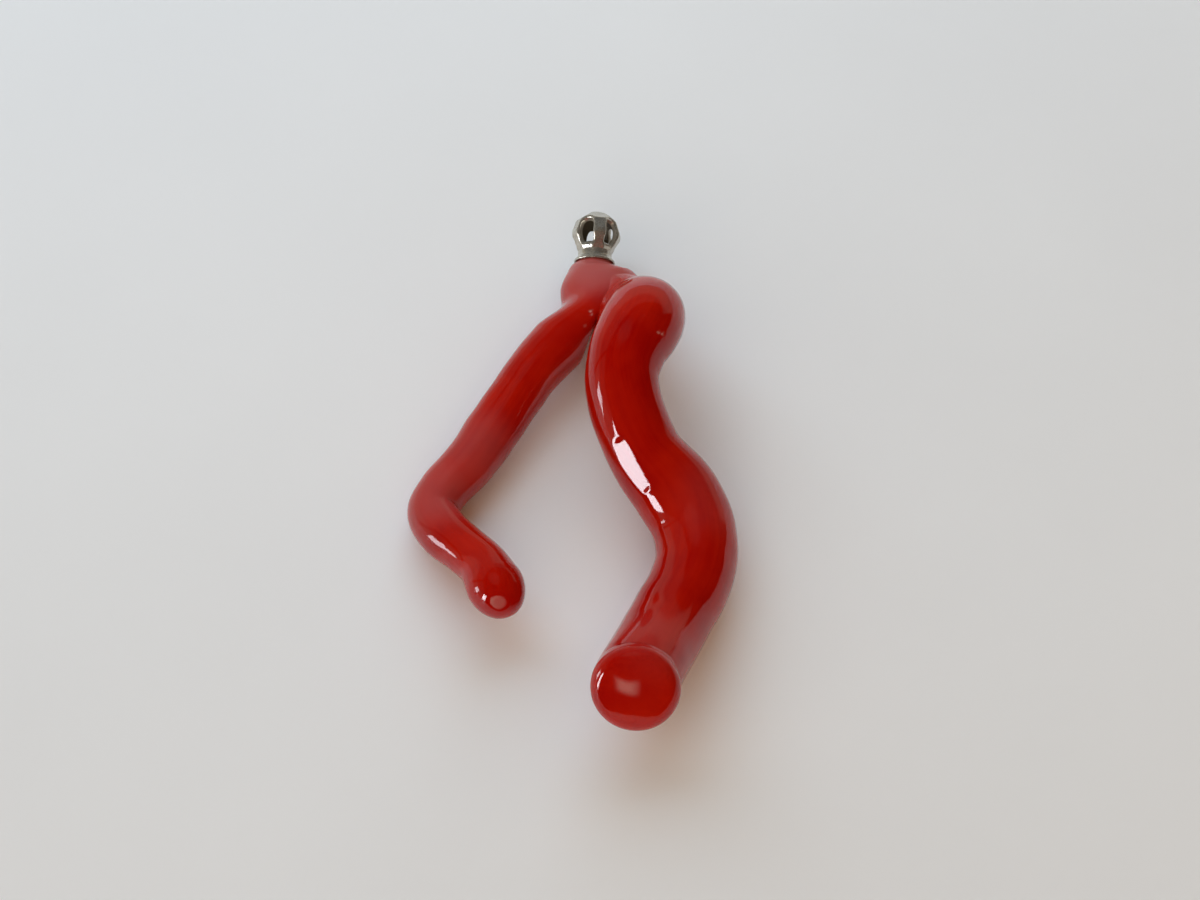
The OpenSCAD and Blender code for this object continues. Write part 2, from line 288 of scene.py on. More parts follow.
class CoralCrownSizes(bpy.types.PropertyGroup):
    diameter: FloatProperty(
        name="Diameter", default=4.74 * MM, min=4.2 * MM, max=5 * MM, unit="LENGTH",
        description="Outer diameter of the open ball")
    wall: FloatProperty(
        name="Wall", default=0.6 * MM, min=0.4 * MM, max=0.7 * MM, unit="LENGTH",
        description="Thickness of the ball's wall and ribs")
    ribs: IntProperty(
        name="Ribs", default=5, min=4, max=6, description="Number of ribs, with a window between each two")
    rib_angle: FloatProperty(
        name="Rib Angle", default=math.radians(33), min=math.radians(24), max=math.radians(36),
        subtype="ANGLE", description="Angle round the ball that each rib takes")
    window_height: FloatProperty(
        name="Window Height", default=2.7 * MM, min=2 * MM, max=3 * MM, unit="LENGTH",
        description="Height of the windows")
    edge: FloatProperty(
        name="Edge Rounding", default=0.2 * MM, min=0.05 * MM, max=0.25 * MM, unit="LENGTH",
        description="Radius of the rounded edges of the ribs and windows")
    neck: FloatProperty(
        name="Neck Diameter", default=3.24 * MM, min=2.8 * MM, max=3.6 * MM, unit="LENGTH",
        description="Diameter of the neck below the ball")
    skirt: FloatProperty(
        name="Skirt Diameter", default=3.96 * MM, min=3.8 * MM, max=4.1 * MM, unit="LENGTH",
        description="Diameter of the skirt's foot on the coral")
    rise: FloatProperty(
        name="Ball Rise", default=2.93 * MM, min=2.6 * MM, max=3.1 * MM, unit="LENGTH",
        description="Height of the ball's centre above the trunk's first section")
    post: FloatProperty(
        name="Post Diameter", default=0.9 * MM, min=0.7 * MM, max=1.2 * MM, unit="LENGTH",
        description="Diameter of the hidden post")
    metal: FloatVectorProperty(
        name="Silver", default=linear("#CAC5B9"), **COLOUR,
        description="Polished silver")
    tarnish: FloatVectorProperty(
        name="Tarnish", default=linear("#554A33"), **COLOUR,
        description="The darkened silver inside the ball")


class CoralStageSizes(bpy.types.PropertyGroup):
    target: FloatVectorProperty(
        name="Target", default=(2.6 * MM, 3.79 * MM, -0.03 * MM), size=3, subtype="TRANSLATION",
        unit="LENGTH", description="The point that the camera looks at")
    distance: FloatProperty(
        name="Distance", default=190 * MM, min=100 * MM, max=600 * MM, unit="LENGTH",
        description="Distance of the camera from its target")
    elevation: FloatProperty(
        name="Elevation", default=math.radians(58), min=0, max=math.radians(89), subtype="ANGLE",
        description="Angle of the camera above the table")
    lens: FloatProperty(
        name="Lens", default=61.3, min=20, max=200, subtype="DISTANCE_CAMERA",
        description="Focal length in millimetres, on a sensor 36 mm wide")
    floor: FloatVectorProperty(
        name="Floor", default=linear("#F0F0EF"), **COLOUR,
        description="The pale table")
    window_power: FloatProperty(
        name="Window", default=2.6, min=0, max=60, unit="POWER",
        description="Power of the window on the left, which only shows in what shines")
    far_power: FloatProperty(
        name="Far Window", default=0.9, min=0, max=60, unit="POWER",
        description="Power of the second window on the left, which only shows in what shines")
    soft_power: FloatProperty(
        name="Soft Box", default=1.55, min=0, max=20, unit="POWER",
        description="Power of the cool soft light behind")
    front_power: FloatProperty(
        name="Front Room", default=2.2, min=0, max=20, unit="POWER",
        description="Power of the soft light in front on the left")
    fill_power: FloatProperty(
        name="Warm Room", default=0.75, min=0, max=20, unit="POWER",
        description="Power of the warm light that comes back from the room's right side")
    sky: FloatVectorProperty(
        name="Room", default=linear("#FFF3DE"), **COLOUR,
        description="The pale walls round the table")


def add_node(tree, kind, inputs=(), **settings):
    """Adds a node. Settings are its own attributes; inputs pair a socket with a value, with the output that
    its link starts from, or with a node for that node's first output. A Mix has its factor at 0, numbers at
    2 and 3 and colours at 6 and 7; a Map Range goes from 1 and 2 to 3 and 4."""
    made = tree.nodes.new("ShaderNode" + kind)
    for name, value in settings.items():
        setattr(made, name, value)
    for socket, value in dict(inputs).items():
        if isinstance(value, bpy.types.Node):
            value = value.outputs[0]
        if isinstance(value, bpy.types.NodeSocket):
            tree.links.new(value, made.inputs[socket])
        else:
            made.inputs[socket].default_value = value
    return made


def node_adder(owner):
    """Clears the nodes of a material or a world, and gives the function that adds one."""
    owner.use_nodes = True
    owner.node_tree.nodes.clear()
    return partial(add_node, owner.node_tree)


def per_mm(size):
    """The scale that gives a noise on Object coordinates, in metres, features of that size in millimetres."""
    return 1 / (size * MM)


def new_mesh(name, places, faces, material, body="root", node=None, numbers=()):
    """A smooth mesh object from places in millimetres and rows of corners, with its named point attributes.
    With a node, it rides on the body and that node is hidden."""
    mesh = bpy.data.meshes.new(name)
    mesh.from_pydata((places * MM).tolist(), [], faces)
    mesh.polygons.foreach_set("use_smooth", np.ones(len(mesh.polygons), bool))
    for label, values in dict(numbers).items():
        kind, field = ("FLOAT_VECTOR", "vector") if values.ndim == 2 else ("FLOAT", "value")
        attribute = mesh.attributes.new(label, kind, "POINT")
        attribute.data.foreach_set(field, values.astype(np.float32).ravel())
    mesh.materials.append(material)
    mesh.update()
    if mesh.validate(verbose=False):
        raise RuntimeError(f"{name}: the mesh had faults")
    made = bpy.data.objects.new(name, mesh)
    bpy.context.scene.collection.objects.link(made)
    if node:
        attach(made, body)
        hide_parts(node)
    return made


def unit(v):
    """Each vector divided by its length."""
    return v / np.linalg.norm(v, axis=-1, keepdims=True)


def fade(value, start, stop):
    """0 up to start, 1 from stop on, and straight between."""
    return np.clip((value - start) / (stop - start), 0, 1)


def spline(rows, t):
    """Catmull-Rom curve through the rows at each t, which counts rows: the cubic whose slope at a
    row is half the step from the row before to the row after."""
    t = np.asarray(t, float)
    i = np.minimum(t.astype(int), len(rows) - 2)
    f = (t - i)[..., None]
    longer = np.vstack([2 * rows[0] - rows[1], rows, 2 * rows[-1] - rows[-2]])
    a, b, c, d = (longer[i + k] for k in range(4))
    square, cube = 2 * a - 5 * b + 4 * c - d, 3 * b - a - 3 * c + d
    return 0.5 * (2 * b + (c - a) * f + square * f ** 2 + cube * f ** 3)


def path_frame(rows, t):
    """The path's heading at each t, the level direction across it, and the upward one square to both."""
    ahead = spline(rows, np.minimum(t + TINY, len(rows) - 1))
    behind = spline(rows, np.maximum(t - TINY, 0))
    along = unit((ahead - behind)[..., :3])
    level = unit(np.cross([0.0, 0.0, 1.0], along))
    return along, level, np.cross(along, level)


def heading(rows, t):
    """The path's heading at one t."""
    return path_frame(rows, np.array([float(t)]))[0][0]


def rings(rows, t, around, shrink=1.0, ahead=0.0):
    """Rings across the path: place + heading * ahead + shrink * (level * w * cos a + upward * h * sin a),
    with a from SEAM_ANGLE once round. Also gives each point's grain: its offset across and its way along."""
    t = np.atleast_1d(np.asarray(t, float))
    row = spline(rows, t)
    along, level, upward = path_frame(rows, t)
    a = np.radians(SEAM_ANGLE + 360 * np.arange(around) / around)
    shrink = np.broadcast_to(shrink, t.shape)[:, None]
    ahead = np.broadcast_to(ahead, t.shape)[:, None]
    x = shrink * row[:, 3:4] * np.cos(a)
    y = shrink * row[:, 4:5] * np.sin(a)
    middle = row[:, :3] + along * ahead
    places = middle[:, None] + level[:, None] * x[..., None] + upward[:, None] * y[..., None]
    stops = np.linspace(0, len(rows) - 1, WAY_STEPS)
    steps = np.linalg.norm(np.diff(spline(rows, stops)[:, :3], axis=0), axis=1)
    way = np.interp(t, stops, np.concatenate([[0], np.cumsum(steps)]))
    grain = np.stack([x, y, np.broadcast_to(way[:, None] + ahead, x.shape)], -1)
    return places, grain


def tube(rows, around, per_row):
    """Rings all along the rows."""
    last = len(rows) - 1
    return rings(rows, np.linspace(0, last, last * per_row + 1), around)


def fork_arc(fork, around):
    """The arc that parts the trunk's last ring: middle + (start - middle) cos a + (crotch - middle) sin a."""
    half = around // 2
    middle = (fork[0] + fork[half]) / 2
    a = np.pi * np.arange(half + 1)[:, None] / half
    return middle + (fork[0] - middle) * np.cos(a) + (CROTCH - middle) * np.sin(a)


def root_of(fork, arc, thick):
    """An arm's root ring, made of one half of the trunk's last ring and the arc, and the share of each
    point: 0 at the arc's ends and off it, 1 at its middle."""
    around = len(fork)
    half = around // 2
    root = fork.copy()
    share = np.zeros(around)
    on = np.arange(half + 1) if thick else np.arange(half, around + 1) % around
    step = np.arange(half + 1) if thick else np.arange(half, -1, -1)
    root[on] = arc[step]
    share[on] = np.sin(np.pi * step / half)
    return root, share[:, None]


def bridge(p0, d0, p1, d1, v):
    """Cubic that leaves p0 along d0 and reaches p1 along d1, for each v from 0 to 1."""
    v = v[:, None, None]
    return ((2 * v ** 3 - 3 * v ** 2 + 1) * p0 + (v ** 3 - 2 * v ** 2 + v) * d0
            + (3 * v ** 2 - 2 * v ** 3) * p1 + (v ** 3 - v ** 2) * d1)


def arm_root(rows, fork, before, arc, fork_grain, thick, count):
    """Rings that turn an arm's root into its first section, with their grain."""
    around = len(fork)
    root, share = root_of(fork, arc, thick)
    both, grain = rings(rows, [0.0, TINY], around)
    apart = unit(PARTING) * (LEAVE_CROTCH if thick else -LEAVE_CROTCH)
    leave = LEAVE_THICK if thick else LEAVE_THIN
    reach = np.linalg.norm(both[0] - root, axis=1, keepdims=True)
    start = (unit(fork - before) * leave * (1 - share) + apart * share) * reach
    end = unit(both[1] - both[0]) * ARRIVE * reach
    v = np.arange(1, count) / count
    places = bridge(root, start, both[0], end, v)
    own = grain[0]
    first = fork_grain.copy()
    first[:, :2] *= 1 - share
    own_way = first[:, 2:] + reach
    mixed = np.concatenate([
        first[None, :, :2] * (1 - v[:, None, None]) + own[None, :, :2] * v[:, None, None],
        first[None, :, 2:] + (own_way - first[:, 2:])[None] * v[:, None, None]], -1)
    return places, mixed, float(own_way.mean())


def cut_profile(radius, rounding, slope):
    """The cut end as shrink and ahead: a round rim up to the slope, then a face that is part of a ball whose
    radius is the rim's divided by the slope's sine."""
    a = np.linspace(0, np.pi / 2 - slope, RIM)[1:]
    b = np.linspace(slope, 0, FACE)[1:-1]
    rim = radius - rounding * (1 - math.sin(slope))
    ball = rim / math.sin(slope)
    height = rounding * math.cos(slope) + ball * (1 - math.cos(slope))
    shrink = np.concatenate([1 - rounding * (1 - np.cos(a)) / radius, ball * np.sin(b) / radius])
    ahead = np.concatenate([rounding * np.sin(a), height - ball * (1 - np.cos(b))])
    return shrink, ahead, height


def nose_profile(length):
    """The nose as shrink cos a and ahead length * sin a."""
    a = np.radians(np.linspace(0, 90, NOSE))[1:-1]
    return np.cos(a), length * np.sin(a), length


def seat_profile(sizes):
    """The trunk's end as shrink and ahead: up the drilled hole's wall, then out over the dome, whose radius
    is sin(a) to the power of its fullness and whose height is cos(a) of the dome's own."""
    radius = TRUNK_ROWS[0, 3]
    hole, deep, dome = (value / MM for value in (sizes.hole_radius, sizes.hole_depth, sizes.seat_dome))
    start = math.asin((hole / radius) ** (1 / SEAT_FULLNESS))
    a = np.linspace(start, np.pi / 2, SEAT)[:-1]
    depths = np.linspace(deep - dome, -dome * math.cos(start), HOLE)[:-1]
    wall = np.full(len(depths), hole / radius)
    shrink = np.concatenate([[hole / radius / 2], wall, np.sin(a) ** SEAT_FULLNESS])
    ahead = np.concatenate([[depths[0]], depths, -dome * np.cos(a)])
    return shrink, ahead, depths[0]


def strip(rows_of_numbers):
    """Quads between each ring of point numbers and the next, anticlockwise seen from outside."""
    a = rows_of_numbers[:-1]
    b = rows_of_numbers[1:]
    return np.stack([a, np.roll(a, -1, 1), np.roll(b, -1, 1), b], -1).reshape(-1, 4)


def fan(ring_numbers, pole):
    """Triangles from a ring of point numbers to a pole."""
    return np.stack([ring_numbers, np.roll(ring_numbers, -1), np.full_like(ring_numbers, pole)], -1)


def coral_surface(sizes):
    """All points, grain, quads and triangles of the branch, and how many points its seat has. The rings of
    the seat and the trunk come first, then the arc between the arms, the thick arm's rings, the thin
    arm's, and the three points that close the hole, the cut and the nose."""
    around, per_row = sizes.around, sizes.per_row
    half = around // 2
    seat_shrink, seat_ahead, hole_floor = seat_profile(sizes)
    seat, seat_grain = rings(TRUNK_ROWS, np.zeros(len(seat_shrink)), around, seat_shrink, seat_ahead)
    trunk, trunk_grain = tube(TRUNK_ROWS, around, per_row)
    stem = np.concatenate([seat, trunk])
    fork = trunk[-1]
    before = rings(TRUNK_ROWS, len(TRUNK_ROWS) - 1 - TINY, around)[0][0]
    arc = fork_arc(fork, around)
    points = [stem.reshape(-1, 3), arc[1:-1]]
    grains = [np.concatenate([seat_grain, trunk_grain]).reshape(-1, 3)]
    arc_grain = np.zeros((half - 1, 3))
    arc_grain[:, 2] = trunk_grain[-1, 0, 2]
    grains.append(arc_grain)
    stem_numbers = np.arange(stem.shape[0] * around).reshape(-1, around)
    arc_at = stem_numbers.size
    at = arc_at + half - 1
    quads = [strip(stem_numbers)]
    fans = []
    poles = [TRUNK_ROWS[0, :3] + heading(TRUNK_ROWS, 0) * hole_floor]
    ends = {
        True: (THICK_ROWS, cut_profile(THICK_ROWS[-1, 3], sizes.cut_rounding / MM, sizes.cut_slope)),
        False: (THIN_ROWS, nose_profile(sizes.nose_length / MM)),
    }
    for thick, (rows, (shrink, ahead, tip)) in ends.items():
        last = len(rows) - 1
        root, root_grain, way = arm_root(rows, fork, before, arc, trunk_grain[-1], thick, sizes.fork_rings)
        body, body_grain = tube(rows, around, per_row)
        end, end_grain = rings(rows, np.full(len(shrink), float(last)), around, shrink, ahead)
        arm = np.concatenate([root, body, end])
        body_grain[..., 2] += way
        end_grain[..., 2] += way
        numbers = at + np.arange(arm.shape[0] * around).reshape(-1, around)
        root_numbers = stem_numbers[-1].copy()
        inner = np.arange(1, half)
        if thick:
            root_numbers[inner] = arc_at + inner - 1
        else:
            root_numbers[around - inner] = arc_at + inner - 1
        quads.append(strip(np.vstack([root_numbers, numbers])))
        points.append(arm.reshape(-1, 3))
        grains.append(np.concatenate([root_grain, body_grain, end_grain]).reshape(-1, 3))
        poles.append(rows[last, :3] + heading(rows, last) * tip)
        fans.append(numbers[-1])
        at += arm.shape[0] * around
    poles = np.array(poles)
    grains.append(np.zeros((3, 3)))
    triangles = np.concatenate([
        fan(stem_numbers[0], at)[:, ::-1], fan(fans[0], at + 1), fan(fans[1], at + 2)])
    return (np.concatenate([*points, poles]), np.concatenate(grains), np.concatenate(quads), triangles,
            seat.shape[0] * around)


def neighbours(count, quads, triangles):
    """For each point the numbers of its neighbours, up to six; where it has fewer, its own number."""
    sides = np.concatenate([quads[:, [0, 1]], quads[:, [1, 2]], quads[:, [2, 3]], quads[:, [3, 0]],
                            triangles[:, [0, 1]], triangles[:, [1, 2]], triangles[:, [2, 0]]])
    sides = np.unique(np.sort(sides, 1), axis=0)
    both = np.concatenate([sides, sides[:, ::-1]])
    both = both[np.argsort(both[:, 0], kind="stable")]
    first = np.searchsorted(both[:, 0], np.arange(count))
    slot = np.arange(len(both)) - first[both[:, 0]]
    keep = slot < 6
    table = np.repeat(np.arange(count)[:, None], 6, 1)
    table[both[keep, 0], slot[keep]] = both[keep, 1]
    return table


def soften(points, weight, table, quads, triangles, passes):
    """Moves each point towards the mean of its neighbours, half of weight's share each pass, but never
    inwards: valleys fill, and the arms keep their fullness. The normals are worked out every tenth pass."""
    near = np.flatnonzero(weight > 0.001)
    share = 0.5 * weight[near, None]
    for step in range(passes):
        if step % 10 == 0:
            normals = point_normals(points, quads, triangles)[near]
        move = points[table[near]].mean(1) - points[near]
        out = (move * normals).sum(1, keepdims=True)
        points[near] += share * (move - np.minimum(out, 0) * normals)
    return points


def point_normals(points, quads, triangles):
    """Outward normals: the sum of the crossed diagonals or sides of the faces round each point."""
    total = np.zeros_like(points)
    for corners, spans in ((quads, ((0, 2), (1, 3))), (triangles, ((0, 1), (0, 2)))):
        crossed = np.cross(*(points[corners[:, b]] - points[corners[:, a]] for a, b in spans))
        for k in range(corners.shape[1]):
            for axis in range(3):
                total[:, axis] += np.bincount(corners[:, k], crossed[:, axis], len(points))
    return unit(total + 1e-12)


def swells(points, seed, sizes_mm, count=7):
    """Gentle seeded waves between 0 and 1: the mean of sines along random directions."""
    random = np.random.default_rng(seed)
    ways = unit(random.normal(size=(count, 3)))
    lengths = random.uniform(*sizes_mm, count)
    phases = random.uniform(0, 2 * np.pi, count)
    waves = np.sin(points @ (ways * 2 * np.pi / lengths[:, None]).T + phases)
    return 0.5 + 0.5 * waves.mean(1)


def flatten(points, facets, soft=0.03):
    """Presses the points within a facet's reach down to its plane, by the softened larger of their height
    over it and zero. The plane lies its depth under the outermost of them."""
    for facet in facets:
        way = unit(facet[3:6])
        near = np.linalg.norm(points - facet[:3], axis=1) < facet[6]
        height = points[near] @ way
        height -= height.max() - facet[7]
        over = soft * np.logaddexp(0, height / soft)
        points[near] -= over[:, None] * way
    return points


def soft_valleys(points, quads, triangles, seat_count, passes):
    """Rounds out the valleys of the fork and the one behind the cut's rim. The crown's seat stays as it
    is."""
    table = neighbours(len(points), quads, triangles)
    near = fade(np.linalg.norm(points - FORK_MIDDLE, axis=1), SOFT_FROM, SOFT_FULL)
    near *= fade(points[:, 1], SOFT_FROM_Y, SOFT_FULL_Y)
    near[:seat_count] = 0
    points = soften(points, near, table, quads, triangles, passes)
    from_rim = points - THICK_ROWS[-1, :3]
    ahead = from_rim @ heading(THICK_ROWS, len(THICK_ROWS) - 1)
    near = np.exp(-((ahead + RIM_BEHIND) / RIM_WIDTH) ** 2)
    near *= np.linalg.norm(from_rim, axis=1) < RIM_REACH
    return soften(points, near, table, quads, triangles, passes // 2)


def polish(points, grain, sizes):
    """Depth that grinding and polishing took away: wide and narrow seeded waves, calm on the trunk, at the
    fork and on the cut, with flat ridges, sin(count * turn) * sin(beat * way), along the arms. Also gives
    how clearly the growth shows."""
    free = fade(points[:, 1], WAVES_FROM_Y, WAVES_FULL_Y)
    free *= np.maximum(fade(points[:, 1], CUT_CALM_Y, CUT_FULL_Y), CUT_SHARE)
    waves = sum(share * swells(points, seed, lengths) for share, seed, lengths in WAVES)
    turn = np.arctan2(grain[:, 1], grain[:, 0]) + RIDGE_TWIST * grain[:, 2]
    flats = 0.5 + 0.5 * np.sin(RIDGE_COUNT * turn) * np.sin(RIDGE_BEAT * grain[:, 2] + 1)
    grown = fade(np.linalg.norm(points - FORK_MIDDLE, axis=1), RIDGES_FROM, RIDGES_FULL)
    grown *= fade(np.hypot(grain[:, 0], grain[:, 1]), LINE_FROM, LINE_FULL)
    depth = sizes.swell / MM * (waves - WAVES_LEVEL) + sizes.ridge / MM * flats * grown
    return depth * free, grown


def pitted(points, normals, pits):
    """Sinks a bowl, depth * exp(-(distance / radius) squared), at each pit. Also gives how chalky each point
    is: chalk * exp(-(distance / chalky reach) to the fourth)."""
    flaw = np.zeros(len(points))
    for x, y, z, radius, deep, chalk in pits:
        gap = np.linalg.norm(points - [x, y, z], axis=1) / radius
        points = points - normals * (deep * np.exp(-gap ** 2))[:, None]
        flaw = np.maximum(flaw, chalk * np.exp(-(gap / CHALK_REACH) ** 4))
    return points, flaw


def worn_sheen_share(points, places):
    """How worn each point is, which also sets how much painted sheen it gets: the largest of share *
    exp(-(distance / reach) to the fourth).
    """
    worn = np.zeros(len(points))
    for x, y, z, reach, share in places:
        gap = np.linalg.norm(points - [x, y, z], axis=1) / reach
        worn = np.maximum(worn, share * np.exp(-gap ** 4))
    return worn


def branch_material(sizes):
    """Red coral, ground and polished: a dense lime skeleton with a deep even red, faint growth lines along
    the branch and a wet-looking gloss. Light enters a little way, so thin edges glow."""
    made = bpy.data.materials.new("red coral, ground and polished")
    add = node_adder(made)
    place = add("TexCoord").outputs["Object"]
    grain = add("Attribute", attribute_name="grain").outputs["Vector"]
    grown, flaw, worn = (
        add("Attribute", attribute_name=name).outputs["Fac"] for name in ("grown", "flaw", "worn"))
    # Denser and paler zones, about 5 mm across
    zones = add("TexNoise", {"Vector": place, "Scale": per_mm(5), "Detail": 3, "Roughness": 0.55})
    # Growth lines: 0.35 mm apart round the branch and about 7 mm long
    lined = add("Mapping", {"Vector": grain, "Scale": (1 / 0.35, 1 / 0.35, 1 / 7)})
    lines = add("TexNoise", {"Vector": lined, "Scale": 1, "Detail": 2, "Roughness": 0.5})
    faded = add("Mix", {0: grown, 2: 0.5, 3: lines})
    mixed = add("Math", {0: faded, 1: 0.35, 2: zones}, operation="MULTIPLY_ADD")
    tone = add("MapRange", {0: mixed, 1: 0.45, 2: 0.9})
    red = add("Mix", {0: tone, 6: sizes.dark, 7: sizes.colour}, data_type="RGBA")
    # Painted sheen: on worn places the red is mixed towards a paler pink that stands in for the sheen that a
    # duller polish reflects; the wear itself only raises the roughness below
    painted_veil = add("Mix", {0: worn, 6: red.outputs[2], 7: sizes.painted_sheen}, data_type="RGBA")
    chalky = add("Mix", {0: flaw, 6: painted_veil.outputs[2], 7: sizes.chalk}, data_type="RGBA")
    # The polish follows the growth lines and has a faint orange peel of 1.3 mm
    peel = add("TexNoise", {"Vector": place, "Scale": per_mm(1.3), "Detail": 1.5})
    height = add("Math", {0: faded, 1: 0.25, 2: peel}, operation="MULTIPLY_ADD")
    bump = add("Bump", {"Height": height, "Strength": 0.35, "Distance": 0.02 * MM})
    # Roughness is 0.06 where the polish is whole and 0.6 in a chalky pit
    dull = add("Math", {0: worn, 1: 0.3, 2: flaw}, operation="MULTIPLY_ADD")
    rough = add("MapRange", {0: dull, 1: 0, 2: 1, 3: 0.06, 4: 0.6})
    shader = add("BsdfPrincipled", {
        "Base Color": chalky.outputs[2], "Roughness": rough, "Normal": bump,
        "IOR": 1.45, "Subsurface Weight": 0.12, "Subsurface Radius": (1.0, 0.12, 0.06),
        "Subsurface Scale": 1.0 * MM, "Sheen Weight": 0.06, "Sheen Roughness": 0.4,
        "Sheen Tint": linear("#FF5A30")})
    add("OutputMaterial", {"Surface": shader})
    return made


def branch_offset():
    """From the sections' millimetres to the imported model's: the middles of the two boxes are the same."""
    sizes = bpy.context.scene.coral_branch
    low, high = (np.array(corner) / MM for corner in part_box(BRANCH_NODE))
    points = coral_surface(sizes)[0]
    return (low + high - points.min(0) - points.max(0)) / 2


class CORAL_OT_branch(bpy.types.Operator):
    """The polished branch: one closed surface of rings along a trunk and two arms, softened at the fork"""
    bl_idname = "coral.branch"
    bl_label = "Coral Branch"

    def execute(self, context):
        sizes = context.scene.coral_branch
        points, grain, quads, triangles, seat_count = coral_surface(sizes)
        points = soft_valleys(points, quads, triangles, seat_count, sizes.smoothing)
        normals = point_normals(points, quads, triangles)
        depth, grown = polish(points, grain, sizes)
        points = flatten(points - normals * depth[:, None], FACETS)
        points, flaw = pitted(points, normals, PITS)
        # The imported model's box is kept, and with it the level that the branch lies on
        low, high = (np.array(corner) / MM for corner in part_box(BRANCH_NODE))
        places = np.clip(points + branch_offset(), low, high)
        new_mesh("coral_branch_polished", places, [*quads.tolist(), *triangles.tolist()],
                 branch_material(sizes), node=BRANCH_NODE,
                 numbers={"grain": grain, "grown": grown, "flaw": flaw, "worn": worn_sheen_share(points, WORN_SHEEN)})
        return {"FINISHED"}


def crown_frame():
    """The crown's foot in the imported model's millimetres, and its axis with two directions square to it."""
    axis = -heading(TRUNK_ROWS, 0)
    foot = TRUNK_ROWS[0, :3] + branch_offset()
    # The angle round the crown counts as in the source: turned up from +Z, then round to the axis's side
    side = unit(np.array([axis[0], axis[1], 0.0]))
    ahead = side * axis[2] - np.array([0.0, 0.0, 1.0]) * np.hypot(axis[0], axis[1])
    return foot, axis, ahead, np.cross(axis, ahead)


def on_ball(lon, lat):
    """The way to each longitude and latitude: cos lat cos lon, cos lat sin lon and sin lat."""
    lon, lat = np.broadcast_arrays(lon, lat)
    return np.stack([np.cos(lat) * np.cos(lon), np.cos(lat) * np.sin(lon), np.sin(lat)], -1)


def pressed(points, middle, first_rib, ribs):
    """Draws each point in towards the ball's middle, to the nearest of the sphere and the flats: the share
    is the smallest of 1 and level / cos of the angle from each flat's way. The cosine is kept at 0.5 or
    more, so that a flat only presses its own side."""
    ways = unit(points - middle)
    share = np.ones(ways.shape[:-1])
    for latitude, per_rib, level in FLATS:
        for k in range(ribs * per_rib):
            way = on_ball(first_rib + 2 * math.pi * k / (ribs * per_rib), math.radians(latitude))
            share = np.minimum(share, level / np.maximum(ways @ way, 0.5))
    return middle + (points - middle) * share[..., None]


def window_reach(angle, half_width, half_height):
    """How far the window's outline is from its middle at each angle: (|cos / width| to the power p + |sin /
    height| to the power p) to the power -1 / p. With its larger power the foot is squarer than the head."""
    power = np.where(np.sin(angle) > 0, HEAD_POWER, FOOT_POWER)
    across = np.abs(np.cos(angle) / half_width) ** power
    along = np.abs(np.sin(angle) / half_height) ** power
    return (across + along) ** (-1 / power)


def sector_outline(half_lon, low, high):
    """The sector's outline as longitude and latitude, once round from its lower right corner."""
    right = np.linspace(low, high, UP + 1)
    top = np.linspace(half_lon, -half_lon, ACROSS + 1)
    lon = np.concatenate([np.full(UP, half_lon), top[:-1], np.full(UP, -half_lon), -top[:-1]])
    lat = np.concatenate([right[:-1], np.full(ACROSS, high), right[::-1][:-1], np.full(ACROSS, low)])
    return lon, lat


def crown_sector(sizes):
    """One sector of the cage as rings round its window, in longitude, latitude and depth, with how dark each
    ring is: the outer skin, the window's rounded rim and the inner skin. A point of the rim is a place on
    the flat outline plus its outward normal times an offset, set on its layer of the ball. From there the
    skin runs straight, in longitude and latitude, to the sector's outline."""
    radius = sizes.diameter / MM / 2
    wall, edge = sizes.wall / MM, sizes.edge / MM
    half_lon = np.pi / sizes.ribs
    low = -math.acos(sizes.neck / sizes.diameter)
    high = math.radians(ROOF_EDGE)
    lon, lat = sector_outline(half_lon, low, high)
    half_width = radius * math.sin(half_lon - sizes.rib_angle / 2)
    half_height = sizes.window_height / MM / 2
    angle = np.arctan2(lat / POINT_SPREAD, lon)
    reach = window_reach(angle, half_width, half_height)
    flat = np.stack([reach * np.cos(angle), reach * np.sin(angle)], -1)
    slope = unit(np.roll(flat, -1, 0) - np.roll(flat, 1, 0))
    outward = np.stack([slope[:, 1], -slope[:, 0]], -1)
    a = np.radians(np.linspace(0, 90, EDGE))
    offsets = np.concatenate([edge * (1 - np.sin(a)), INNER_EDGE * (1 - np.cos(a))])
    layers = np.concatenate([radius - edge * (1 - np.cos(a)), radius - wall + INNER_EDGE * (1 - np.sin(a))])
    inside = np.concatenate([np.zeros(len(a)), np.linspace(RIM_DARK, 1, len(a))])
    rim = (flat[None] + outward[None] * offsets[:, None, None]) * (layers / radius)[:, None, None]
    x = np.sqrt(layers[:, None] ** 2 - (rim ** 2).sum(-1))
    rim_lon = np.arctan2(rim[..., 0], x)
    rim_lat = np.arcsin(rim[..., 1] / layers[:, None])
    s = np.linspace(0, 1, SKIN)[:-1, None]
    lons, lats = (
        np.concatenate([side + (hem[0] - side) * s, hem, hem[-1] + (side - hem[-1]) * (1 - s[::-1])])
        for side, hem in ((lon, rim_lon), (lat, rim_lat)))
    depth = np.concatenate([np.full(len(s), radius), layers, np.full(len(s), radius - wall)])
    dark = np.concatenate([np.zeros(len(s)), inside, np.ones(len(s))])
    return lons, lats, depth, dark, low, high


